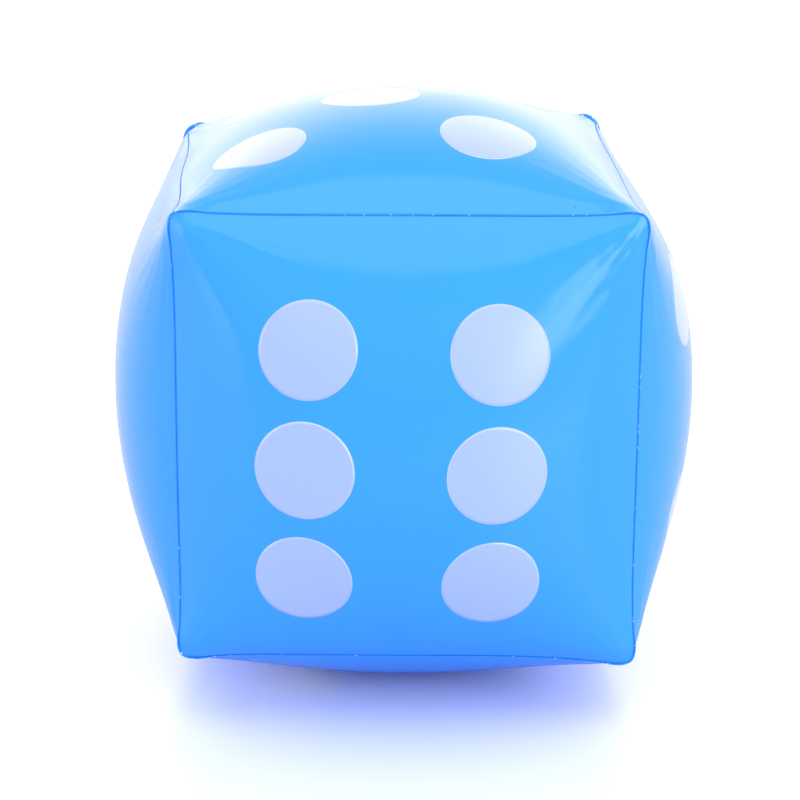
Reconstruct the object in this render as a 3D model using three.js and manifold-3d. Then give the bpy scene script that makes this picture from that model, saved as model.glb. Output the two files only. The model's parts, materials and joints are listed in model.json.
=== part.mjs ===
// Giant inflatable yard die: six welded PVC panels blown up into a bulging cube, twenty-one printed
// spots, and the push-in inflation valve on the back face.
//
// Frame: millimetres, +Z up, origin on the floor under the middle of the die. The six-spot face looks
// along -Y (front), the four-spot face along +X (right) and the five-spot face up.

import * as THREE from 'three';
import { mergeVertices } from 'three/addons/utils/BufferGeometryUtils.js';
import Module from 'manifold-3d';

const wasm = await Module();
wasm.setup();

// ---- Driving dimensions ----

const EDGE = 370;               // one edge of the inflated die, corner to corner
const INFLATION = 0.2;          // air pressure x edge / tensile stiffness of the vinyl
const VINYL = 0.4;              // thickness of the sheet
const SEAM = 2.4;               // width of the welded fin that stands along every edge
const GAP = 0.3;                // clear air between neighbouring solids
const FLATTENING = 4;           // how far the bottom panel is pressed flat by the floor
const CELLS = 12;               // cells of the panel net along each side

const INK = 0.3;                // thickness allowed for a printed spot
const SPOT_RADIUS = 37.3;
const SPOT_SIDES = 24;
const SPACING = 91.5;           // centre of the face to a corner spot, along each side
const SIX_COLUMN = 72.5;        // the same for the six, whose two columns stand closer
const SIX_ROW = 92.5;
const FRONT_PRINT = [-6, -8];   // how far the print is out of register on its face, to the right and up
const FRONT_TURN = -1.2;        // and how far it is turned, in degrees
const TOP_PRINT = [-28, -2.5];

const VALVE_DROP = 78;          // valve axis below the centre of the back face
const VALVE_HOLE = 12.5;        // radius of the hole in the vinyl and in the valve's flange
const FLANGE_RADIUS = 19;
const FLANGE_DEPTH = 2.2;       // flange's top below the vinyl, which curves down over it
const FLANGE_THICKNESS = 1;
const STEM_RADIUS = 6.4;
const BORE_RADIUS = 4.6;
const STEM_LENGTH = 14;
const SKIRT_THICKNESS = 0.6;
const CAP_RADIUS = 7.4;
const CAP_THICKNESS = 1.4;
const PLUG_RADIUS = 4.2;        // at the cap
const PLUG_TIP_RADIUS = 3.5;
const PLUG_LENGTH = 4;
const STRAP_WIDTH = 3;
const STRAP_THICKNESS = 0.8;
const FLAP_RADIUS = 5.6;
const FLAP_THICKNESS = 0.8;
const ROUND = 24;               // sides of a turned part

// ---- Inflated shape of one panel ----

// The net is in the frame of its face: x to the right, y up, z outwards from the centre of the die.
// Every vertex is joined to its neighbours by springs that have the stiffness of an isotropic sheet
// (Poisson's ratio 1/3) but go slack when pressed, as thin vinyl wrinkles. Vertices on the rim can
// only move in the plane midway between two faces, where this panel meets the next one.

const SIDE = CELLS + 1;
const at = (i, j) => i * SIDE + j;

function makeSprings() {
  const springs = [];
  const along = 3 / 4;
  const across = 3 / 8;
  const slackShare = 0.02;
  const join = (a, b, stiffness) => springs.push({ a, b, stiffness, slack: stiffness * slackShare });
  for (let i = 0; i < SIDE; i++) {
    for (let j = 0; j < SIDE; j++) {
      const onRimI = i === 0 || i === CELLS;
      const onRimJ = j === 0 || j === CELLS;
      if (i < CELLS) join(at(i, j), at(i + 1, j), onRimJ ? along / 2 : along);
      if (j < CELLS) join(at(i, j), at(i, j + 1), onRimI ? along / 2 : along);
      if (i < CELLS && j < CELLS) {
        join(at(i, j), at(i + 1, j + 1), across);
        join(at(i + 1, j), at(i, j + 1), across);
      }
    }
  }
  return springs;
}

// The corners of every cell, anticlockwise seen from outside.
function makeCells() {
  const list = [];
  for (let i = 0; i < CELLS; i++) {
    for (let j = 0; j < CELLS; j++) list.push([at(i, j), at(i + 1, j), at(i + 1, j + 1), at(i, j + 1)]);
  }
  return list;
}

const CELL_LIST = makeCells();
const diagonal = new THREE.Vector3();

// Area of a cell as a vector along its outward normal.
function cellArea(net, [a, b, c, d], result) {
  diagonal.subVectors(net[d], net[b]);
  return result.subVectors(net[c], net[a]).cross(diagonal).multiplyScalar(0.5);
}

function seatOnSeams(p, i, j) {
  const onRimI = i === 0 || i === CELLS;
  const onRimJ = j === 0 || j === CELLS;
  if (!onRimI && !onRimJ) return;
  const reach = (p.z + (onRimI ? Math.abs(p.x) : 0) + (onRimJ ? Math.abs(p.y) : 0))
    / (1 + onRimI + onRimJ);
  p.z = reach;
  if (onRimI) p.x = Math.sign(p.x) * reach;
  if (onRimJ) p.y = Math.sign(p.y) * reach;
}

function inflate() {
  const net = [];
  for (let i = 0; i < SIDE; i++) {
    for (let j = 0; j < SIDE; j++) net.push(new THREE.Vector3(i / CELLS - 0.5, j / CELLS - 0.5, 0.5));
  }
  const springs = makeSprings();
  for (const s of springs) s.rest = net[s.a].distanceTo(net[s.b]);

  const speeds = net.map(() => new THREE.Vector3());
  const forces = net.map(() => new THREE.Vector3());
  const pull = new THREE.Vector3();
  const steps = 2500;
  const timeStep = 0.5;
  const damping = 0.95;
  for (let step = 0; step < steps; step++) {
    for (const f of forces) f.set(0, 0, 0);
    for (const s of springs) {
      pull.subVectors(net[s.b], net[s.a]);
      const length = pull.length();
      const stretch = length - s.rest;
      pull.multiplyScalar((stretch > 0 ? s.stiffness : s.slack) * stretch / length);
      forces[s.a].add(pull);
      forces[s.b].sub(pull);
    }
    for (const cell of CELL_LIST) {
      cellArea(net, cell, pull).multiplyScalar(INFLATION / cell.length);
      for (const corner of cell) forces[corner].add(pull);
    }
    net.forEach((p, k) => {
      speeds[k].addScaledVector(forces[k], timeStep).multiplyScalar(damping);
      p.addScaledVector(speeds[k], timeStep);
      seatOnSeams(p, Math.floor(k / SIDE), k % SIDE);
    });
  }
  const scale = EDGE / 2 / net[at(CELLS, CELLS)].z;
  for (const p of net) p.multiplyScalar(scale);
  return net;
}

// Every panel stands out a little from the centre, to be half a gap clear of the planes between faces.
const STAND_BACK = GAP / 2 * Math.SQRT2;

const NET = inflate();
const CENTRE = at(CELLS / 2, CELLS / 2);
const BULGE = NET[CENTRE].z;                        // centre of the die to the crown of a face
const FLOOR = BULGE - FLATTENING;                   // the same to the middle of the flattened vinyl
const FLAT_NET = NET.map((p) => new THREE.Vector3(p.x, p.y, Math.min(p.z, FLOOR)));

// ---- Solids from vertices ----

function toGeometry(vertices, triangles) {
  const geometry = new THREE.BufferGeometry();
  geometry.setAttribute('position', new THREE.Float32BufferAttribute(vertices.flatMap((p) => p.toArray()), 3));
  geometry.setIndex(triangles.flat());
  return geometry;
}

function toManifold(geometry) {
  const bare = geometry.clone();
  bare.deleteAttribute('normal');
  bare.deleteAttribute('uv');
  const merged = mergeVertices(bare, 1e-4);
  return new wasm.Manifold(new wasm.Mesh({
    numProp: 3,
    vertProperties: new Float32Array(merged.attributes.position.array),
    triVerts: new Uint32Array(merged.index.array),
  }));
}

function fromManifold(solid) {
  const mesh = solid.getMesh();
  const geometry = new THREE.BufferGeometry();
  geometry.setAttribute('position', new THREE.Float32BufferAttribute(mesh.vertProperties, 3));
  geometry.setIndex(Array.from(mesh.triVerts));
  return geometry;
}

const quad = (a, b, c, d) => [[a, b, c], [a, c, d]];

// The rim of the net as one loop of [i, j] pairs, anticlockwise seen from outside.
function rimLoop() {
  const loop = [];
  for (let k = 0; k < CELLS; k++) loop.push([k, 0]);
  for (let k = 0; k < CELLS; k++) loop.push([CELLS, k]);
  for (let k = CELLS; k > 0; k--) loop.push([k, CELLS]);
  for (let k = CELLS; k > 0; k--) loop.push([0, k]);
  return loop;
}

const RIM = rimLoop();

function netNormals(net) {
  const normals = net.map(() => new THREE.Vector3());
  const area = new THREE.Vector3();
  for (const cell of CELL_LIST) {
    cellArea(net, cell, area);
    for (const corner of cell) normals[corner].add(area);
  }
  return normals.map((n) => n.normalize());
}

// Unit direction, in the seam's plane, in which a weld stands out from a rim vertex.
function seamDirection(i, j) {
  const x = i === 0 ? -1 : i === CELLS ? 1 : 0;
  const y = j === 0 ? -1 : j === CELLS ? 1 : 0;
  return new THREE.Vector3(x, y, 1).normalize();
}

function offset(net, distance) {
  const normals = netNormals(net);
  return net.map((p, k) => p.clone().addScaledVector(normals[k], distance));
}

// Triangles of a net whose vertices start at `first`, facing outwards, or inwards when flipped.
function netTriangles(first, flipped) {
  const triangles = CELL_LIST.flatMap((cell) => quad(...cell.map((k) => first + k)));
  return flipped ? triangles.map(([a, b, c]) => [a, c, b]) : triangles;
}

// Strip between two closed loops of vertex numbers of the same length.
function loopTriangles(lower, upper) {
  return lower.flatMap((a, k) => {
    const next = (k + 1) % lower.length;
    return quad(a, lower[next], upper[next], upper[k]);
  });
}

// A panel is a thin shell whose rim turns outwards into half of each weld.
function panelGeometry(net) {
  const webRise = VINYL * Math.SQRT2;
  const up = new THREE.Vector3(0, 0, 1);
  const lifted = net.map((p) => p.clone().addScaledVector(up, STAND_BACK));
  const inner = offset(lifted, -VINYL / 2);
  const outer = offset(lifted, VINYL / 2);
  const tips = [];
  const webTips = [];
  for (const [i, j] of RIM) {
    const out = seamDirection(i, j);
    const rim = lifted[at(i, j)];
    inner[at(i, j)] = rim.clone().addScaledVector(out, -VINYL / 2);
    outer[at(i, j)] = rim.clone().addScaledVector(up, webRise);
    const tip = rim.clone().addScaledVector(out, SEAM);
    tips.push(tip);
    webTips.push(tip.clone().addScaledVector(up, webRise));
  }
  const vertices = [...inner, ...outer, ...tips, ...webTips];
  const innerRim = RIM.map(([i, j]) => at(i, j));
  const outerRim = innerRim.map((k) => k + inner.length);
  const tipRim = RIM.map((_, k) => inner.length + outer.length + k);
  const webTipRim = tipRim.map((k) => k + tips.length);
  return toGeometry(vertices, [
    ...netTriangles(0, true),
    ...netTriangles(inner.length, false),
    ...loopTriangles(innerRim, tipRim),
    ...loopTriangles(tipRim, webTipRim),
    ...loopTriangles(webTipRim, outerRim),
  ]);
}

// The whole panel covered with ink, just clear of the vinyl. Spots are cut out of it.
function inkSheet(net) {
  const below = offset(net, VINYL / 2 + 2 * GAP);
  const above = offset(net, VINYL / 2 + 2 * GAP + INK);
  const belowRim = RIM.map(([i, j]) => at(i, j));
  const aboveRim = belowRim.map((k) => k + below.length);
  return toManifold(toGeometry([...below, ...above], [
    ...netTriangles(0, true),
    ...netTriangles(below.length, false),
    ...loopTriangles(belowRim, aboveRim),
  ]));
}

// Place on the panel, by distances along the flat sheet from the middle of the face, with its z axis
// along the outward normal.
function placeOnPanel(net, right, up) {
  const normals = netNormals(net);
  const sheet = EDGE / CELLS;
  const i = CELLS / 2 + right / sheet;
  const j = CELLS / 2 + up / sheet;
  const cellI = Math.floor(i);
  const cellJ = Math.floor(j);
  const blend = (field) => {
    const mix = (a, b, t) => a.clone().lerp(b, t);
    const low = mix(field[at(cellI, cellJ)], field[at(cellI + 1, cellJ)], i - cellI);
    const high = mix(field[at(cellI, cellJ + 1)], field[at(cellI + 1, cellJ + 1)], i - cellI);
    return mix(low, high, j - cellJ);
  };
  const z = blend(normals).normalize();
  const x = new THREE.Vector3(1, 0, 0).addScaledVector(z, -z.x).normalize();
  const y = new THREE.Vector3().crossVectors(z, x);
  return new THREE.Matrix4().makeBasis(x, y, z).setPosition(blend(net));
}

// Upright cylinder in the frame of a place, for cutting.
function cutter(place, radius, sides) {
  const depth = 30;
  const geometry = new THREE.CylinderGeometry(radius, radius, depth, sides);
  return toManifold(geometry.rotateX(Math.PI / 2).applyMatrix4(place));
}

function spotGeometry(net, ink, right, up) {
  return fromManifold(ink.intersect(cutter(placeOnPanel(net, right, up), SPOT_RADIUS, SPOT_SIDES)));
}

// ---- Materials ----

const material = (color, roughness) => new THREE.MeshStandardMaterial({ color, roughness, metalness: 0 });
const vinylBlue = () => material(0x2f93ee, 0.22);
const inkWhite = () => material(0xf4f7fb, 0.35);
const clearBlue = () => material(0x6db4f2, 0.3);

function addMesh(parent, name, geometry, finish) {
  const mesh = new THREE.Mesh(geometry, finish);
  mesh.name = name;
  parent.add(mesh);
  return mesh;
}

// ---- Faces ----

const MIDDLE = [0, 0];
const DIAGONAL = [[-SPACING, SPACING], [SPACING, -SPACING]];
const CORNERS = [...DIAGONAL, [SPACING, SPACING], [-SPACING, -SPACING]];
const COLUMNS = [-SIX_COLUMN, SIX_COLUMN].flatMap((x) => [SIX_ROW, 0, -SIX_ROW].map((y) => [x, y]));

const FACES = [
  { name: 'front', right: [1, 0, 0], up: [0, 0, 1], spots: COLUMNS, print: FRONT_PRINT, turn: FRONT_TURN },
  { name: 'back', right: [-1, 0, 0], up: [0, 0, 1], spots: [...DIAGONAL, MIDDLE], print: MIDDLE },
  { name: 'left', right: [0, -1, 0], up: [0, 0, 1], spots: [MIDDLE], print: MIDDLE },
  { name: 'right', right: [0, 1, 0], up: [0, 0, 1], spots: CORNERS, print: MIDDLE },
  { name: 'top', right: [1, 0, 0], up: [0, 1, 0], spots: [...CORNERS, MIDDLE], print: TOP_PRINT },
  { name: 'bottom', right: [1, 0, 0], up: [0, -1, 0], spots: DIAGONAL, print: MIDDLE },
];

function makeFace({ name, right, up, spots, print, turn = 0 }) {
  const group = new THREE.Group();
  const x = new THREE.Vector3(...right);
  const y = new THREE.Vector3(...up);
  group.applyMatrix4(new THREE.Matrix4().makeBasis(x, y, new THREE.Vector3().crossVectors(x, y)));
  const net = name === 'bottom' ? FLAT_NET : NET;

  let panel = panelGeometry(net);
  if (name === 'back') {
    const valvePlace = placeOnPanel(net, 0, -VALVE_DROP);
    panel = fromManifold(toManifold(panel).subtract(cutter(valvePlace, VALVE_HOLE, ROUND)));
    const valve = makeValve();
    valve.applyMatrix4(valvePlace);
    group.add(valve);
  }
  addMesh(group, `${name}_panel`, panel, vinylBlue());

  const ink = inkSheet(net);
  spots.forEach((spot, k) => {
    const place = new THREE.Vector2(...spot)
      .rotateAround(new THREE.Vector2(), THREE.MathUtils.degToRad(turn))
      .add(new THREE.Vector2(...print));
    const geometry = spotGeometry(net, ink, place.x, place.y);
    addMesh(group, `${name}_spot_${k + 1}`, geometry, inkWhite());
  });
  return group;
}

// ---- Valve ----

// Every valve piece is in the valve's own frame: z along its axis, outwards from the vinyl. At rest the
// stem is pushed into the die, so that the cap lies in the hole with its top level with the vinyl.

const STEM_TOP = -CAP_THICKNESS - GAP;
const STEM_FOOT = STEM_TOP - STEM_LENGTH;

// Solid of revolution through [radius, z] corners, listed anticlockwise round the section.
function turned(section, closed = true) {
  const points = section.map(([radius, z]) => new THREE.Vector2(radius, z));
  if (closed) points.push(points[0].clone());
  return new THREE.LatheGeometry(points, ROUND).rotateX(Math.PI / 2);
}

function flangeGeometry() {
  const bottom = -FLANGE_DEPTH - FLANGE_THICKNESS;
  return turned([
    [VALVE_HOLE, bottom],
    [FLANGE_RADIUS, bottom],
    [FLANGE_RADIUS, -FLANGE_DEPTH],
    [VALVE_HOLE, -FLANGE_DEPTH],
  ]);
}

// The thin rolling wall that lets the stem be pushed in: a cone from the flange down to the stem's foot.
function skirtGeometry() {
  const footRadius = STEM_RADIUS + GAP;
  const rimRadius = VALVE_HOLE - GAP;
  const footHeight = STEM_FOOT + 1;
  return turned([
    [footRadius, footHeight],
    [footRadius + SKIRT_THICKNESS, footHeight],
    [rimRadius, -FLANGE_DEPTH],
    [rimRadius - SKIRT_THICKNESS, -FLANGE_DEPTH],
  ]);
}

function stemGeometry() {
  return turned([
    [BORE_RADIUS, STEM_FOOT],
    [STEM_RADIUS, STEM_FOOT],
    [STEM_RADIUS, STEM_TOP],
    [BORE_RADIUS, STEM_TOP],
  ]);
}

// Round cap with the tapered plug that closes the bore.
function capGeometry() {
  return turned([
    [0, -CAP_THICKNESS - PLUG_LENGTH],
    [PLUG_TIP_RADIUS, -CAP_THICKNESS - PLUG_LENGTH],
    [PLUG_RADIUS, -CAP_THICKNESS],
    [CAP_RADIUS, -CAP_THICKNESS],
    [CAP_RADIUS, 0],
    [0, 0],
  ], false);
}

// C-shaped strap beside the stem: its upper leg reaches the cap, its lower leg the stem. It bends, and
// the cap turns about its back.
function strapGeometry() {
  const back = CAP_RADIUS + GAP + 2 * STRAP_THICKNESS;
  const top = -STRAP_THICKNESS / 2;
  const foot = top - 4 * STRAP_THICKNESS;
  const outline = [
    [STEM_RADIUS + GAP, foot],
    [back, foot],
    [back, top],
    [CAP_RADIUS + GAP, top],
    [CAP_RADIUS + GAP, top - STRAP_THICKNESS],
    [back - STRAP_THICKNESS, top - STRAP_THICKNESS],
    [back - STRAP_THICKNESS, foot + STRAP_THICKNESS],
    [STEM_RADIUS + GAP, foot + STRAP_THICKNESS],
  ].map(([y, z]) => new THREE.Vector2(y, z));
  const section = new THREE.Shape(outline);
  const geometry = new THREE.ExtrudeGeometry(section, { depth: STRAP_WIDTH, bevelEnabled: false });
  const toFrame = new THREE.Matrix4().makeBasis(
    new THREE.Vector3(0, 1, 0),
    new THREE.Vector3(0, 0, 1),
    new THREE.Vector3(1, 0, 0),
  );
  return geometry.translate(0, 0, -STRAP_WIDTH / 2).applyMatrix4(toFrame);
}

// Non-return flap that closes the inner end of the bore.
function flapGeometry() {
  const top = STEM_FOOT - GAP;
  return turned([
    [0, top - FLAP_THICKNESS],
    [FLAP_RADIUS, top - FLAP_THICKNESS],
    [FLAP_RADIUS, top],
    [0, top],
  ], false);
}

function makeValve() {
  const valve = new THREE.Group();
  addMesh(valve, 'valve_flange', flangeGeometry(), clearBlue());
  addMesh(valve, 'valve_skirt', skirtGeometry(), clearBlue());
  addMesh(valve, 'valve_stem', stemGeometry(), clearBlue());
  addMesh(valve, 'valve_cap', capGeometry(), clearBlue());
  addMesh(valve, 'cap_strap', strapGeometry(), clearBlue());
  addMesh(valve, 'check_flap', flapGeometry(), clearBlue());
  return valve;
}

// ---- The die ----

const die = new THREE.Group();
die.name = 'yard_die';
die.position.z = FLOOR + STAND_BACK + VINYL / 2;
for (const face of FACES) die.add(makeFace(face));

export default die;
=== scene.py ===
"""A giant inflatable yard die: welded vinyl panels blown up by a cloth simulation, printed spots and a
push-in air valve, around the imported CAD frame. Metres, +Z up, the six-spot face towards -Y."""

import json
import math

import bpy
import numpy as np
from mathutils import Matrix, Vector


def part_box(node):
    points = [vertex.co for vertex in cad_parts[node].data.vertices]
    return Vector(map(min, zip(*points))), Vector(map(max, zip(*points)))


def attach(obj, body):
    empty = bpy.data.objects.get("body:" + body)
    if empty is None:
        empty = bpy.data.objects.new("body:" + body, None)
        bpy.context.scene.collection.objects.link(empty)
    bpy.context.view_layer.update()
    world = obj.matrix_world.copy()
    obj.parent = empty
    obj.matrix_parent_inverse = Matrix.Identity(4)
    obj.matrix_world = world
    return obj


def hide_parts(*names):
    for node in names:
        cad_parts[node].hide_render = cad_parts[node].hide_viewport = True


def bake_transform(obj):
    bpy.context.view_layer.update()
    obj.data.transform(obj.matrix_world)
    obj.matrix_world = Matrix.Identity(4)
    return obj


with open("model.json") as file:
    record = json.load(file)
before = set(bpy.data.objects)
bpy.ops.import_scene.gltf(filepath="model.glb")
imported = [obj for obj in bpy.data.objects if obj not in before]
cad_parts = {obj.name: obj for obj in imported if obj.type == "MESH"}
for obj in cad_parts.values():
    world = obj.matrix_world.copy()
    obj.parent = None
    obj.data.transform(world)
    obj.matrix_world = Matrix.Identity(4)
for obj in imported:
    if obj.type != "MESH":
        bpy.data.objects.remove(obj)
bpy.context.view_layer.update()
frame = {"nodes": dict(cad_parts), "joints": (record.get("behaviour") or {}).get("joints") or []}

MM = 0.001

# ---- Driving sizes ----

SHEET = 370 * MM                # side of a flat panel between its welds
FRONT_CORNER = 14 * MM          # radius of the front panel's round corners
BACK_CORNER = 21 * MM           # and of the back panel's
THICKNESS = 0.4 * MM            # of the vinyl
INK = 0.06 * MM                 # thickness of a printed spot, half of it sunk into the vinyl
FIN = 0.6 * MM                  # how far the weld stands out along the front and back seams
SIDE_FIN = 0.35 * MM            # along the four seams between them
FRONT_EAR = 1.6 * MM            # at the front panel's corners
BACK_EAR = 3.4 * MM             # and at the back panel's
RIM_FADE = 30 * MM              # how far in from a seam the panels follow the smoothed seam
VALVE_HOLE = 12.5 * MM          # radius of the hole in the back panel
COLLAR = 19 * MM                # outer radius of the ring that holds the valve in the hole
SPOKES = 96                     # points around a printed spot or the valve's collar
CELLS = 24                      # of the cloth net, along each side of a panel
FRAMES = 20                     # of the cloth simulation
REFINE = 7  # fine cells to each cell of the cloth net
RNG = np.random.default_rng(6)

# The faces, each with its own right and up as seen from outside.
FACES = {
    "front": ((1, 0, 0), (0, 0, 1)),
    "back": ((-1, 0, 0), (0, 0, 1)),
    "left": ((0, -1, 0), (0, 0, 1)),
    "right": ((0, 1, 0), (0, 0, 1)),
    "top": ((1, 0, 0), (0, 1, 0)),
    "bottom": ((1, 0, 0), (0, -1, 0)),
}
FRONT_LOW, FRONT_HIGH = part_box("front_panel")
CENTRE = np.array((0, 0, (FRONT_LOW.z + FRONT_HIGH.z) / 2))

# Where the blown-up die is uneven: the place on the cube, how far it is pulled out, and how far round it
# the pull reaches, in millimetres.
PULLS = (
    ((-1, 1, 1), (-13, 0, -1), 140),
    ((1, 1, 1), (-6, 0, 9), 80),
    ((1, -1, -1), (0, 0, -3), 80),
    ((-1, -1, -1), (2, 0, 2), 80),
    ((-1, -0.1, 1), (-6, 0, 0), 95),
)


# ---- The inflated shape ----

def cube_net(cells):
    """Vertices of a cube as one shared net, and each face's vertex numbers by column and row."""
    numbers = {}
    points = []
    grids = {}
    steps = range(cells + 1)
    for name, (right, up) in FACES.items():
        right, up = np.array(right), np.array(up)
        out = np.cross(right, up)
        grid = np.empty((cells + 1, cells + 1), int)
        for i in steps:
            for j in steps:
                key = tuple((2 * i - cells) * right + (2 * j - cells) * up + cells * out)
                if key not in numbers:
                    numbers[key] = len(points)
                    points.append(key)
                grid[i, j] = numbers[key]
        grids[name] = grid
    return np.array(points) * SHEET / (2 * cells), grids


def round_long_edges(points):
    """Rounds the cube's four edges along Y, which gives the front and back panels their round corners."""
    radius = FRONT_CORNER + (BACK_CORNER - FRONT_CORNER) * (points[:, 1] / SHEET + 0.5)
    straight = SHEET / 2 - radius
    x, z = (np.clip(np.abs(points[:, k]) - straight, 0, None) / radius for k in (0, 2))
    near = (x > 0) & (z > 0)
    rounded = points.copy()
    for k, (along, across) in ((0, (x, z)), (2, (z, x))):
        reach = straight + radius * along * np.sqrt(1 - across ** 2 / 2)
        rounded[near, k] = np.sign(points[near, k]) * reach[near]
    return rounded


def grid_quads(grid):
    """Corner numbers of the net's cells, anticlockwise seen from outside."""
    corners = (grid[:-1, :-1], grid[1:, :-1], grid[1:, 1:], grid[:-1, 1:])
    return np.stack([c.ravel() for c in corners], axis=1)


def inflate(points, quads):
    """Blows the flat-sided box up as cloth under air pressure, and returns its new vertices."""
    mesh = bpy.data.meshes.new("blown_up")
    mesh.from_pydata(points.tolist(), [], quads.tolist())
    piece = bpy.data.objects.new("blown_up", mesh)
    bpy.context.scene.collection.objects.link(piece)
    cloth = piece.modifiers.new("Cloth", "CLOTH")
    cloth.collision_settings.use_collision = False
    vinyl = cloth.settings
    vinyl.quality = 6
    vinyl.mass = 0.1
    vinyl.air_damping = 1
    vinyl.use_pressure = True
    vinyl.uniform_pressure_force = 60
    vinyl.tension_stiffness = 2
    vinyl.compression_stiffness = 0.02
    vinyl.shear_stiffness = 0.2
    vinyl.bending_stiffness = 0.01
    vinyl.effector_weights.gravity = 0
    scene = bpy.context.scene
    for number in range(1, FRAMES + 1):
        scene.frame_set(number)
    shaped = piece.evaluated_get(bpy.context.evaluated_depsgraph_get()).to_mesh()
    flat = np.empty(len(shaped.vertices) * 3)
    shaped.vertices.foreach_get("co", flat)
    bpy.data.objects.remove(piece)
    scene.frame_set(1)
    return flat.reshape(-1, 3)


def net_normals(points, quads):
    """Outward unit normal at every vertex of the shared net, which on a seam is the mean of both panels."""
    across = np.cross(points[quads[:, 2]] - points[quads[:, 0]], points[quads[:, 3]] - points[quads[:, 1]])
    normals = np.zeros_like(points)
    for k in range(4):
        np.add.at(normals, quads[:, k], across)
    return normals / np.linalg.norm(normals, axis=1, keepdims=True)


def refine(values, times, closed=False, axis=0):
    """More values on the smooth curve through the given ones, along one axis of the array."""
    values = np.moveaxis(values, axis, 0)
    if closed:
        padded = np.concatenate([values[-1:], values, values[:2]])
    else:
        padded = np.concatenate([2 * values[:1] - values[1:2], values, 2 * values[-1:] - values[-2:-1]])
    before, here, after, beyond = padded[:-3], padded[1:-2], padded[2:-1], padded[3:]
    parts = []
    for k in range(times):
        t = k / times
        parts.append(here + t / 2 * (after - before + t * (2 * before - 5 * here + 4 * after - beyond
                     + t * (3 * here - 3 * after + beyond - before))))
    fine = np.stack(parts, axis=1).reshape((-1,) + values.shape[1:])
    if not closed:
        fine = np.concatenate([fine, values[-1:]])
    return np.moveaxis(fine, 0, axis)


def rim_of(grid):
    """What a grid holds along its rim, anticlockwise seen from outside."""
    return np.concatenate([grid[:-1, 0], grid[-1, :-1], grid[:0:-1, -1], grid[0, :0:-1]])


def edge_of(net, side):
    """One of the four edges of a net, running with its columns or rows."""
    return (net[:, 0], net[-1], net[:, -1], net[0])[side]


def face_nets(values, grids):
    """Fine nets of all faces. The front and back rims run smoothly round their corners, and their
    neighbours follow them there."""
    curves = {}
    for name in ("front", "back"):
        loop = refine(values[rim_of(grids[name])], REFINE, closed=True)
        ends = rim_of(grids[name])[::CELLS]
        loop = np.concatenate([loop, loop[:1]])
        for side in range(4):
            curve = loop[side * CELLS * REFINE:(side + 1) * CELLS * REFINE + 1]
            start, end = ends[side], ends[(side + 1) % 4]
            curves[start, end] = curve
            curves[end, start] = curve[::-1]
    nets = {}
    inward = np.linspace(0, SHEET, CELLS * REFINE + 1)
    fade = np.clip(1 - inward / RIM_FADE, 0, 1)[:, None, None] ** 2
    for name, grid in grids.items():
        net = refine(refine(values[grid], REFINE, axis=0), REFINE, axis=1)
        shift = np.zeros_like(net)
        for side in range(4):
            line = edge_of(grid, side)
            if (line[0], line[-1]) in curves:
                move = fade * (curves[line[0], line[-1]] - edge_of(net, side))
                if side in (1, 2):
                    move = move[::-1]
                shift += move.transpose(1, 0, 2) if side in (0, 2) else move
        nets[name] = net + shift
    return nets


def blow_up_die():
    """The die's surface as a net, its normals, and the vertex numbers of each face."""
    flat, grids = cube_net(CELLS)
    flat = round_long_edges(flat)
    quads = np.concatenate([grid_quads(grid) for grid in grids.values()])
    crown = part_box("right_panel")[1].x
    shape = inflate(flat, quads)
    shape *= crown / np.abs(shape[:, 0]).max()
    for place, pull, reach in PULLS:
        far = np.linalg.norm(shape - np.array(place) * SHEET / 2, axis=1) / (reach * MM)
        shape += np.exp(-far ** 2)[:, None] * np.array(pull) * MM
    shape += CENTRE
    shape[:, 2] = np.maximum(shape[:, 2], 0)
    return shape, net_normals(shape, quads), grids


# ---- Mesh helpers ----

def make_piece(name, vertices, faces, material, body=None):
    """A smooth-shaded piece, riding on the given body."""
    mesh = bpy.data.meshes.new(name)
    mesh.from_pydata(np.asarray(vertices).tolist(), [], [list(map(int, f)) for f in faces])
    mesh.shade_smooth()
    mesh.materials.append(material)
    piece = bpy.data.objects.new(name, mesh)
    bpy.context.scene.collection.objects.link(piece)
    if body:
        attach(piece, body)
    return piece


def give_sheet_uv(piece, sheet_places):
    """Stores each vertex's place on the flat sheet as the UV map, in metres from a middle point."""
    layer = piece.data.uv_layers.new(name="sheet")
    corners = np.empty(len(piece.data.loops), int)
    piece.data.loops.foreach_get("vertex_index", corners)
    layer.data.foreach_set("uv", np.asarray(sheet_places)[corners].astype(np.float32).ravel())


def strip(lower, upper):
    """Quads between two closed loops of vertex numbers."""
    return np.stack([lower, np.roll(lower, -1), np.roll(upper, -1), upper], axis=1)


def net_plane_normals(net):
    """Unit normals of one face's net."""
    normals = np.cross(np.gradient(net, axis=0), np.gradient(net, axis=1))
    return normals / np.linalg.norm(normals, axis=2, keepdims=True)


def sample(net, place):
    """Values of a net at fractional columns and rows."""
    last = net.shape[0] - 1
    i, j = np.clip(np.floor(place).astype(int), 0, last - 1).T
    s, t = (place - np.stack([i, j], axis=-1)).T[..., None]
    low = net[i, j] * (1 - s) + net[i + 1, j] * s
    high = net[i, j + 1] * (1 - s) + net[i + 1, j + 1] * s
    return low * (1 - t) + high * t


def find_on_net(net, point, right, up):
    """The fractional column and row where a face's net lies straight under or over a point."""
    across = np.stack([right, up], axis=1)
    flat = (net - CENTRE) @ across
    aim = (np.asarray(point) - CENTRE) @ across
    count = net.shape[0] - 1
    place = np.array([[count / 2, count / 2]])
    for _ in range(20):
        place = place + (aim - sample(flat, place)) * count / SHEET
    return place


def ring_places(place, radii, spokes, count):
    """Rings of points around a place: their fractional columns and rows, and how far each point lies
    from the place along the flat sheet."""
    turn = np.linspace(0, 2 * math.pi, spokes, endpoint=False)
    circle = np.stack([np.cos(turn), np.sin(turn)], axis=1)
    away = np.concatenate([radius * circle for radius in radii])
    return place + away * count / SHEET, away


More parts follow.
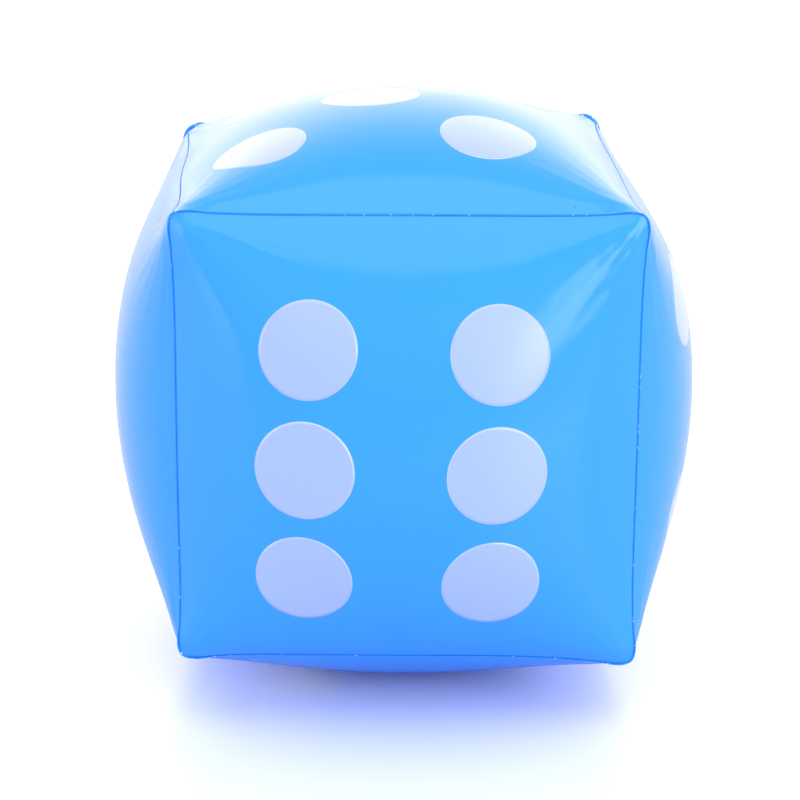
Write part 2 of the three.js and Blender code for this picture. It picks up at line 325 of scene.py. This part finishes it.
def lathe(profile, spokes=64):
    """Turns a closed profile of (radius, height) points, listed anticlockwise, about the z axis."""
    radius, height = np.array(profile, float).T * MM
    turn = np.linspace(0, 2 * math.pi, spokes, endpoint=False)
    points = np.stack([np.outer(np.cos(turn), radius), np.outer(np.sin(turn), radius),
                       np.tile(height, (spokes, 1))], axis=2).reshape(-1, 3)
    grid = np.arange(len(points)).reshape(spokes, -1)
    rows = np.concatenate([grid, grid[:1]])
    faces = [face for a, b in zip(rows[:-1], rows[1:]) for face in strip(b, a)]
    return points, faces


def rounded(profile, radius, steps=4):
    """A closed profile with its corners rounded."""
    corners = np.array(profile, float)
    result = []
    for before, corner, after in zip(np.roll(corners, 1, 0), corners, np.roll(corners, -1, 0)):
        back, forth = before - corner, after - corner
        cut = min(radius, 0.45 * np.linalg.norm(back), 0.45 * np.linalg.norm(forth))
        start = corner + back / np.linalg.norm(back) * cut
        end = corner + forth / np.linalg.norm(forth) * cut
        for t in np.linspace(0, 1, steps):
            result.append((1 - t) ** 2 * start + 2 * t * (1 - t) * corner + t ** 2 * end)
    return result


# ---- Materials ----

def node_material(name):
    """A new material, with its nodes, its links and its main shader."""
    material = bpy.data.materials.new(name)
    material.use_nodes = True
    nodes = material.node_tree.nodes
    return material, nodes, material.node_tree.links, nodes["Principled BSDF"]


def link_bump(nodes, links, shader, height, strength, distance):
    """Makes the shader's surface look uneven by a height texture."""
    bump = nodes.new("ShaderNodeBump")
    bump.inputs["Strength"].default_value = strength
    bump.inputs["Distance"].default_value = distance
    links.new(height, bump.inputs["Height"])
    links.new(bump.outputs["Normal"], shader.inputs["Normal"])


def noise(nodes, links, vector, scale, detail=3):
    """A cloudy texture between 0 and 1."""
    texture = nodes.new("ShaderNodeTexNoise")
    texture.inputs["Scale"].default_value = scale
    texture.inputs["Detail"].default_value = detail
    links.new(vector, texture.inputs["Vector"])
    return texture.outputs["Fac"]


def mix_colours(nodes, links, factor, first, second):
    """The first colour where the factor is 0, and the second where it is 1."""
    mix = nodes.new("ShaderNodeMix")
    mix.data_type = "RGBA"
    links.new(factor, mix.inputs["Factor"])
    mix.inputs["A"].default_value = (*first, 1)
    mix.inputs["B"].default_value = (*second, 1)
    return mix.outputs["Result"]


def speckle(nodes, links, place, scale, size):
    """1 in small round specks scattered through space, 0 elsewhere."""
    cells = nodes.new("ShaderNodeTexVoronoi")
    cells.inputs["Scale"].default_value = scale
    links.new(place, cells.inputs["Vector"])
    speck = nodes.new("ShaderNodeMath")
    speck.operation = "LESS_THAN"
    links.new(cells.outputs["Distance"], speck.inputs[0])
    speck.inputs[1].default_value = size * scale
    return speck.outputs["Value"]


def vinyl_material(name, colour, glow, roughness, through, specks=(30, 0.6 * MM, (0.02, 0.05, 0.15))):
    """Soft coloured vinyl that shines and lets some light through, with a few specks: dark ones are dirt,
    light ones are painted highlights.
    """
    material, nodes, links, shader = node_material(name)
    place = nodes.new("ShaderNodeTexCoord").outputs["Object"]
    cloudy = mix_colours(nodes, links, noise(nodes, links, place, 9), colour, [c * 0.94 for c in colour])
    # Dark specks are dirt; light specks, as on the welds, are painted highlights (glints).
    scale, size, dust_and_glint_colour = specks
    dust_and_glint_specked = mix_colours(nodes, links, speckle(nodes, links, place, scale, size), colour, dust_and_glint_colour)
    links.new(cloudy, dust_and_glint_specked.node.inputs["A"])
    links.new(dust_and_glint_specked, shader.inputs["Base Color"])
    shader.inputs["Roughness"].default_value = roughness
    shader.inputs["IOR"].default_value = 1.47
    link_bump(nodes, links, shader, noise(nodes, links, place, 260, 4), 0.12, 0.0004)
    thin = nodes.new("ShaderNodeBsdfTranslucent")
    thin.inputs["Color"].default_value = (*glow, 1)
    blend = nodes.new("ShaderNodeMixShader")
    blend.inputs["Fac"].default_value = through
    links.new(shader.outputs["BSDF"], blend.inputs[1])
    links.new(thin.outputs["BSDF"], blend.inputs[2])
    links.new(blend.outputs["Shader"], nodes["Material Output"].inputs["Surface"])
    return material


def ink_material():
    """Screen-printed white ink: it lets the blue through a little, and shows the weave of the screen."""
    material, nodes, links, shader = node_material("white_ink")
    sheet = nodes.new("ShaderNodeUVMap")
    sheet.uv_map = "sheet"
    waves = []
    for direction in ("X", "Y"):
        wave = nodes.new("ShaderNodeTexWave")
        wave.bands_direction = direction
        wave.inputs["Scale"].default_value = 150
        wave.inputs["Distortion"].default_value = 0.6
        links.new(sheet.outputs["UV"], wave.inputs["Vector"])
        waves.append(wave.outputs["Fac"])
    weave = nodes.new("ShaderNodeMath")
    weave.operation = "MULTIPLY"
    links.new(waves[0], weave.inputs[0])
    links.new(waves[1], weave.inputs[1])
    colour = mix_colours(nodes, links, weave.outputs["Value"], (0.245, 0.352, 0.66), (0.232, 0.338, 0.64))
    reach = nodes.new("ShaderNodeVectorMath")
    reach.operation = "LENGTH"
    links.new(sheet.outputs["UV"], reach.inputs[0])
    rim = nodes.new("ShaderNodeMapRange")
    links.new(reach.outputs["Value"], rim.inputs["Value"])
    rim.inputs["From Min"].default_value = 35.8 * MM
    rim.inputs["From Max"].default_value = 36.4 * MM
    edged = nodes.new("ShaderNodeMix")
    edged.data_type = "RGBA"
    links.new(rim.outputs["Result"], edged.inputs["Factor"])
    links.new(colour, edged.inputs["A"])
    edged.inputs["B"].default_value = (0.33, 0.43, 0.70, 1)
    links.new(edged.outputs["Result"], shader.inputs["Base Color"])
    shader.inputs["Roughness"].default_value = 0.3
    shader.inputs["IOR"].default_value = 1.7
    link_bump(nodes, links, shader, weave.outputs["Value"], 0.15, 0.00005)
    return material


# ---- Panels, welds and spots ----

def crumple(net):
    """Fine creases that run out from the four corners of a face, and fade before they reach its edges.
    Strong short ones lie about 32 mm from the corner, and weaker long ones about 75 mm."""
    count = net.shape[0]
    line = np.linspace(0, SHEET, count)
    column, row = np.meshgrid(line, line, indexing="ij")
    edge = np.minimum(np.minimum(column, SHEET - column), np.minimum(row, SHEET - row))
    height = np.zeros_like(column)
    for a in (column, SHEET - column):
        for b in (row, SHEET - row):
            far = np.hypot(a, b) / MM
            angle = np.arctan2(b, a) * 2 / math.pi
            waves = np.zeros_like(far)
            for folds in range(3, 17):
                bend = 0.05 * np.sin(far / 9 + 6 * RNG.random())
                bend += 0.03 * np.sin(far / 4 + 6 * RNG.random())
                size = 0.3 * RNG.normal() / math.sqrt(folds)
                waves += size * np.sin(2 * math.pi * (folds * angle + RNG.random() + bend))
            short_creases = 0.6 * np.exp(-((far - 32) / 16) ** 2)
            long_creases = 0.42 * np.exp(-((far - 75) / 38) ** 2)
            height += waves * (short_creases + long_creases)
    fade = np.clip(edge / (7 * MM), 0, 1)
    height *= fade * fade * (3 - 2 * fade) * MM
    return net + height[..., None] * net_plane_normals(net)


def make_panel(name, net, material, hole=None):
    """One sheet of vinyl, with its real thickness. hole is where a round hole is, in columns and rows."""
    count = net.shape[0]
    numbers = np.arange(count * count).reshape(count, count)
    steps = np.arange(count, dtype=float)
    places = np.stack(np.meshgrid(steps, steps, indexing="ij"), axis=-1).reshape(-1, 2)
    quads = grid_quads(numbers)
    loops = [rim_of(numbers)]
    if hole is not None:
        half = round(1.6 * VALVE_HOLE / SHEET * (count - 1))
        i, j = (int(round(v)) for v in hole[0])
        patch = numbers[i - half:i + half + 1, j - half:j + half + 1]
        inside = set(map(tuple, grid_quads(patch).tolist()))
        quads = np.array([q for q in quads.tolist() if tuple(q) not in inside])
        outer = rim_of(patch)
        away = places[outer] - hole
        circle = away / np.linalg.norm(away, axis=1, keepdims=True) * VALVE_HOLE / SHEET * (count - 1)
        for t in (0.25, 0.5, 0.75, 1):
            ring = len(places) + np.arange(len(outer))
            places = np.concatenate([places, hole + away * (1 - t) + circle * t])
            quads = np.concatenate([quads, strip(outer, ring)])
            outer = ring
        loops.append(outer[::-1])
    surface = sample(net, places)
    normals = sample(net_plane_normals(net), places)
    total = len(places)
    faces = [quads, quads[:, ::-1] + total] + [strip(loop + total, loop) for loop in loops]
    vertices = np.concatenate([surface, surface - normals * THICKNESS])
    piece = make_piece(f"{name}_vinyl", vertices, np.concatenate(faces), material, "die")
    give_sheet_uv(piece, np.tile(places * SHEET / (count - 1) - SHEET / 2, (2, 1)))
    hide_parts(f"{name}_panel")
    return piece


def make_weld(name, path, outward, closed, material, heights):
    """The fin of two sheets welded together that stands out along a seam, slightly wavy."""
    outward = outward / np.linalg.norm(outward, axis=1, keepdims=True)
    tangent = np.roll(path, -1, 0) - np.roll(path, 1, 0) if closed else np.gradient(path, axis=0)
    side = np.cross(tangent, outward)
    side /= np.linalg.norm(side, axis=1, keepdims=True)
    # The section of the fin, from one foot over its round top to the other foot.
    rise = np.array([-0.3, 0.72, 0.94, 1, 0.94, 0.72, -0.3]) * heights[:, None]
    half = np.array([-0.27, -0.25, -0.16, 0, 0.16, 0.25, 0.27]) * MM
    run = np.linspace(0, 1, len(path), endpoint=not closed)
    sway = sum(RNG.normal() * np.sin(2 * math.pi * (k * run + RNG.random())) for k in range(9, 60, 4))
    lean = sway[:, None] * rise * 0.05
    points = path[:, None] + outward[:, None] * rise[..., None] + side[:, None] * (half + lean)[..., None]
    grid = np.arange(points.shape[0] * points.shape[1]).reshape(points.shape[:2])
    rows = np.concatenate([grid, grid[:1]]) if closed else grid
    faces = [face for a, b in zip(rows[:-1], rows[1:]) for face in strip(a, b)]
    if not closed:
        faces += [grid[0][::-1], grid[-1]]
    return make_piece(name, points.reshape(-1, 3), faces, material, "die")


def make_disc(name, net, place, radii, low, high, material):
    """A thin round piece that follows the vinyl: rings of the given radii between two heights over it."""
    solid = radii[0] == 0
    spread, away = ring_places(place, radii[1:] if solid else radii, SPOKES, net.shape[0] - 1)
    if solid:
        spread = np.concatenate([place, spread])
        away = np.concatenate([np.zeros((1, 2)), away])
    surface = sample(net, spread)
    normals = sample(net_plane_normals(net), spread)
    total = len(spread)
    loops = [np.arange(SPOKES) + k * SPOKES + solid for k in range(len(radii) - solid)]
    faces = [face for a, b in zip(loops[:-1], loops[1:]) for face in strip(b, a)]
    if solid:
        faces += [(0, a, b) for a, b in zip(loops[0], np.roll(loops[0], -1))]
    faces += [tuple(total + k for k in face[::-1]) for face in faces]
    faces += list(strip(loops[-1] + total, loops[-1]))
    if not solid:
        faces += list(strip(loops[0], loops[0] + total))
    vertices = np.concatenate([surface + normals * high, surface + normals * low])
    piece = make_piece(name, vertices, faces, material, "die")
    give_sheet_uv(piece, np.tile(away, (2, 1)))
    return piece


def make_spot(node, net, right, up, material):
    """A printed spot, over the place that the CAD gives it."""
    low, high = (np.array(v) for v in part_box(node))
    place = find_on_net(net, (low + high) / 2, right, up)
    radii = np.linspace(0, max(high - low) / 2, 17)
    piece = make_disc(f"{node}_ink", net, place, radii, -INK / 2, INK / 2, material)
    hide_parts(node)


# ---- The air valve, in its own frame: z out of the die, y up. Its sizes are in millimetres. ----

def valve_frame():
    """Where the valve is: its origin lies 2.7 mm out from the middle of the flange, on the stem's axis."""
    axis = Vector(next(j for j in frame["joints"] if j["name"] == "stem_slide")["axis"])
    low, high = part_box("valve_flange")
    origin = (low + high) / 2 + axis * 2.7 * MM
    x = Vector((-1, 0, 0))
    return Matrix.Translation(origin) @ Matrix((x, axis.cross(x), axis)).transposed().to_4x4()


def valve_piece(name, shape, material, body, node):
    """One piece of the valve, which takes the place of the CAD's node."""
    points, faces = shape
    placed = [valve_frame() @ Vector(p) for p in points]
    piece = make_piece(name, placed, faces, material, body)
    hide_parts(node)
    return piece


def seat_valve(net):
    """Moves the back panel around the valve in or out a little, so that it meets the collar."""
    right, up = (np.array(v, float) for v in FACES["back"])
    origin = np.array(valve_frame().translation)
    gap = origin - sample(net, find_on_net(net, origin, right, up))[0]
    near = np.exp(-(np.linalg.norm(net - origin, axis=2) / (40 * MM)) ** 2)
    return net + near[..., None] * gap


def strap_shape(width=3, thickness=0.8, steps=14):
    """The strap between stem and cap: a flat band bent into a C."""
    angle = np.linspace(-math.pi / 2, math.pi / 2, steps)
    middle = np.stack([7.5 + 1.35 * np.cos(angle), -2.0 + 1.25 * np.sin(angle)], axis=1)
    middle = np.concatenate([[(6.2, -3.25)], middle, [(6.9, -0.75)]])
    normal = np.gradient(middle, axis=0)[:, ::-1] * (1, -1)
    normal /= np.linalg.norm(normal, axis=1, keepdims=True)
    points = []
    for at, out in zip(middle, normal):
        for x, s in ((-1, -1), (1, -1), (1, 1), (-1, 1)):
            y, z = at + out * s * thickness / 2
            points.append((x * width / 2 * MM, y * MM, z * MM))
    grid = np.arange(len(points)).reshape(-1, 4)
    faces = [face for a, b in zip(grid[:-1], grid[1:]) for face in strip(a, b)]
    return points, faces + [grid[0][::-1], grid[-1]]


def make_valve(net, place, material, clear):
    """Collar, rolling sleeve, stem, cap, strap and flap. Each outline lists (radius, height)."""
    collar_radii = np.linspace(VALVE_HOLE - 1.5 * MM, COLLAR, 8)
    collar = make_disc("valve_collar", net, place, collar_radii, -1.5 * MM, -0.5 * MM, material)
    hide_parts("valve_flange")
    wall = np.linspace(0, 1, 14)
    radius = 7.2 + 4.7 * (1 - wall) ** 1.4
    height = -2.2 - 12.5 * wall
    skirt = list(zip(radius, height)) + list(zip(radius[::-1] - 0.6, height[::-1]))
    piece = valve_piece("valve_sleeve", lathe(skirt[::-1]), clear, None, "valve_skirt")
    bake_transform(piece)
    stem = [(6.4, -15.7), (6.4, -3.2), (7.0, -2.8), (7.0, -1.7), (4.6, -1.7), (4.6, -15.7)]
    valve_piece("valve_tube", lathe(rounded(stem, 0.35)), material, "valve_stem", "valve_stem")
    cap = [(0.01, -5.2), (3.4, -5.2), (4.2, -1.5), (7.2, -1.5),
           (7.4, -0.2), (6.2, 0), (5.6, -0.45), (0.01, -0.45)]
    valve_piece("valve_plug", lathe(rounded(cap, 0.3)), material, "valve_cap", "valve_cap")
    strap = valve_piece("valve_strap", strap_shape(), material, None, "cap_strap")
    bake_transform(strap)
    flap = [(0.01, -16.75), (5.3, -16.75), (5.6, -16.4), (5.3, -16.05), (0.01, -16.05)]
    valve_piece("valve_check_flap", lathe(rounded(flap, 0.2)), clear, "valve_flap", "check_flap")


def corner_heights(count, tall, low=FIN):
    """Fin heights along a panel's loop: tall at its four corners."""
    side = np.abs(np.linspace(-1, 1, count // 4, endpoint=False))
    return np.tile(low + (tall - low) * np.clip((side - 0.81) / 0.12, 0, 1) ** 1.5, 4)


def build_die():
    """Panels with their spots, the valve in the back panel, and the welds."""
    shape, normals, grids = blow_up_die()
    blue = vinyl_material("blue_vinyl", (0.037, 0.40, 0.95), (0.008, 0.36, 1), 0.15, 0.36)
    # The weld's light specks are painted highlights: glints off small puckers beside the seam.
    deep = vinyl_material("weld_vinyl", (0.025, 0.32, 0.88), (0.02, 0.32, 1), 0.2, 0.3,
                          (230, 0.8 * MM, (0.7, 0.85, 1)))
    soft = vinyl_material("valve_vinyl", (0.02, 0.33, 0.86), (0.1, 0.5, 1), 0.3, 0.3)
    clear = vinyl_material("valve_film", (0.05, 0.42, 0.9), (0.2, 0.6, 1), 0.2, 0.5)
    ink = ink_material()
    spot_nodes = [n for n in frame["nodes"] if "_spot_" in n]
    nets = face_nets(shape, grids)
    outwards = face_nets(normals, grids)
    for name, net in nets.items():
        right, up = (np.array(v, float) for v in FACES[name])
        net = crumple(net)
        net[..., 2] = np.maximum(net[..., 2], 0)  # a crease never reaches through the floor
        hole = None
        if name == "back":
            net = seat_valve(net)
            hole = find_on_net(net, valve_frame().translation, right, up)
            make_valve(net, hole, soft, clear)
        make_panel(name, net, blue, hole)
        for node in sorted(n for n in spot_nodes if n.startswith(name)):
            make_spot(node, net, right, up, ink)
    for name, ear in (("front", FRONT_EAR), ("back", BACK_EAR)):
        path, outward = (rim_of(table[name]) for table in (nets, outwards))
        make_weld(f"{name}_weld", path, outward, True, deep, corner_heights(len(path), ear))
    for name, side in (("top", "left"), ("top", "right"), ("bottom", "left"), ("bottom", "right")):
        path, outward = (table[name][0 if side == "left" else -1] for table in (nets, outwards))
        make_weld(f"{name}_{side}_weld", path, outward, False, deep, np.full(len(path), SIDE_FIN))


# ---- Camera, light and floor ----

def place_camera():
    """A long lens a little above the die, almost square to the six-spot face."""
    distance = 6.03 * SHEET
    elevation = math.radians(16.04)
    azimuth = math.radians(1.07)
    roll = math.radians(0.49)
    back = Vector((-math.sin(azimuth) * math.cos(elevation), -math.cos(azimuth) * math.cos(elevation),
                   math.sin(elevation)))
    level = Vector((0, 0, 1)).cross(back).normalized()
    upright = back.cross(level)
    right = level * math.cos(roll) + upright * math.sin(roll)
    up = upright * math.cos(roll) - level * math.sin(roll)
    camera = bpy.data.objects.new("camera", bpy.data.cameras.new("camera"))
    camera.data.lens = 114.5
    camera.data.shift_x = -0.0045
    camera.data.shift_y = -0.0296
    turned = Matrix((right, up, back)).transposed().to_4x4()
    camera.matrix_world = Matrix.Translation(Vector(CENTRE) + back * distance) @ turned
    bpy.context.scene.collection.objects.link(camera)
    bpy.context.scene.camera = camera


def area_light(name, position, target, size, power):
    """A rectangular softbox that faces the target. The power is in watts."""
    light = bpy.data.lights.new(name, "AREA")
    light.shape = "RECTANGLE"
    light.size, light.size_y = size
    light.energy = power
    lamp = bpy.data.objects.new(name, light)
    lamp.location = position
    lamp.rotation_euler = (Vector(target) - Vector(position)).to_track_quat("-Z", "Y").to_euler()
    bpy.context.scene.collection.objects.link(lamp)


def light_studio():
    """A white studio whose back wall is by far the brightest, and darker low down behind the camera."""
    scene = bpy.context.scene
    scene.view_settings.view_transform = "Standard"
    world = bpy.data.worlds.new("studio")
    scene.world = world
    world.use_nodes = True
    nodes, links = world.node_tree.nodes, world.node_tree.links
    nodes["Background"].inputs["Color"].default_value = (1.03, 0.945, 1.08, 1)
    direction = nodes.new("ShaderNodeSeparateXYZ")
    links.new(nodes.new("ShaderNodeTexCoord").outputs["Generated"], direction.inputs["Vector"])
    wall = nodes.new("ShaderNodeMapRange")
    wall.interpolation_type = "SMOOTHSTEP"
    links.new(direction.outputs["Y"], wall.inputs["Value"])
    wall.inputs["From Min"].default_value = 0.25
    wall.inputs["From Max"].default_value = 0.95
    wall.inputs["To Min"].default_value = 1.36
    wall.inputs["To Max"].default_value = 2.6
    ceiling = nodes.new("ShaderNodeMapRange")
    ceiling.interpolation_type = "SMOOTHSTEP"
    links.new(direction.outputs["Z"], ceiling.inputs["Value"])
    ceiling.inputs["From Min"].default_value = 0.3
    ceiling.inputs["From Max"].default_value = 0.9
    ceiling.inputs["To Max"].default_value = -0.5
    low_down = nodes.new("ShaderNodeMapRange")
    low_down.interpolation_type = "SMOOTHSTEP"
    links.new(direction.outputs["Z"], low_down.inputs["Value"])
    low_down.inputs["From Min"].default_value = 0.1
    low_down.inputs["From Max"].default_value = 0.6
    low_down.inputs["To Min"].default_value = 0.8
    room = nodes.new("ShaderNodeMapRange")
    room.interpolation_type = "SMOOTHSTEP"
    links.new(direction.outputs["Y"], room.inputs["Value"])
    room.inputs["From Min"].default_value = -0.7
    room.inputs["From Max"].default_value = 0
    links.new(low_down.outputs["Result"], room.inputs["To Min"])
    lit = nodes.new("ShaderNodeMath")
    lit.operation = "MULTIPLY"
    links.new(wall.outputs["Result"], lit.inputs[0])
    links.new(room.outputs["Result"], lit.inputs[1])
    strength = nodes.new("ShaderNodeMath")
    links.new(lit.outputs["Value"], strength.inputs[0])
    links.new(ceiling.outputs["Result"], strength.inputs[1])
    links.new(strength.outputs["Value"], nodes["Background"].inputs["Strength"])
    area_light("key", (1.8, -1.9, 0.98), (0, 0, 0.3), (1.7, 1.45), 38)
    area_light("ceiling", (0, -0.7, 2.5), (0, -0.2, 0.3), (3.2, 2.2), 38)
    area_light("left_wall", (-2.4, -0.9, 0.6), (0, 0, 0.25), (2.0, 1.6), 22)


def lay_floor():
    """A pale floor with a slight shine."""
    reach = 12
    mesh = bpy.data.meshes.new("floor")
    mesh.from_pydata([(-reach, -reach, 0), (reach, -reach, 0), (reach, reach, 0), (-reach, reach, 0)], [],
                     [(0, 1, 2, 3)])
    material, _, _, shader = node_material("floor")
    shader.inputs["Base Color"].default_value = (0.69, 0.75, 0.92, 1)
    shader.inputs["Roughness"].default_value = 0.2
    shader.inputs["IOR"].default_value = 1.5
    mesh.materials.append(material)
    floor = bpy.data.objects.new("floor", mesh)
    bpy.context.scene.collection.objects.link(floor)


place_camera()
light_studio()
lay_floor()
build_die()
